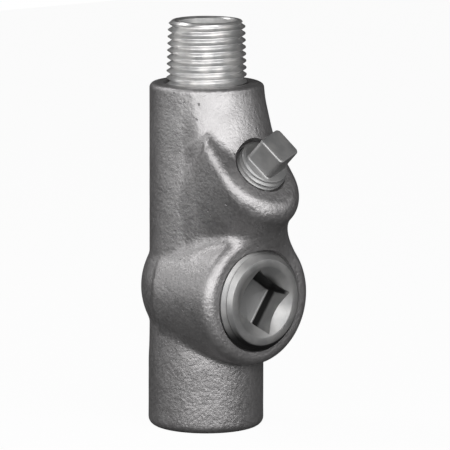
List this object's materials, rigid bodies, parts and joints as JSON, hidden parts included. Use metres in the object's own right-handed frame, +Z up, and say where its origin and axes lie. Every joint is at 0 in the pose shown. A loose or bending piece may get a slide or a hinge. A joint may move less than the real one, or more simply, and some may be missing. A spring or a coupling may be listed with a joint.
{
  "type": "conduit sealing fitting",
  "caption": "Vertical conduit sealing fitting: cast housing with a female hub, a threaded nipple, a slanted fill boss with a square head plug and a large port with a countersunk plug.",
  "frame": {"origin": "centre of the lower hub's end face, on the run's axis", "axes": "+Z up the run to the nipple, -Y out of the large port and over the fill boss, +X across"},
  "size_m": [0.0356, 0.0481, 0.1085],
  "materials": {
    "casting": "satin grey lacquer over sand-cast skin",
    "zinc_steel": "bright turned thread",
    "plug_iron": "satin"
  },
  "bodies": {
    "body": {"body": "casting"},
    "nipple": {"nipple": "zinc_steel"},
    "port_plug": {"port_plug": "plug_iron"},
    "fill_plug": {"fill_plug": "plug_iron"}
  },
  "joints": [
    {"name": "nipple_out", "type": "slide", "parent": "body", "child": "nipple", "axis": [0, 0, 1], "range_m": [0, 0.01451]},
    {"name": "port_plug_out", "type": "slide", "parent": "body", "child": "port_plug", "axis": [0, -1, 0], "range_m": [0, 0.01814]},
    {"name": "fill_plug_out", "type": "slide", "parent": "body", "child": "fill_plug", "axis": [0, -0.7547, 0.6561], "range_m": [0, 0.01129]}
  ]
}
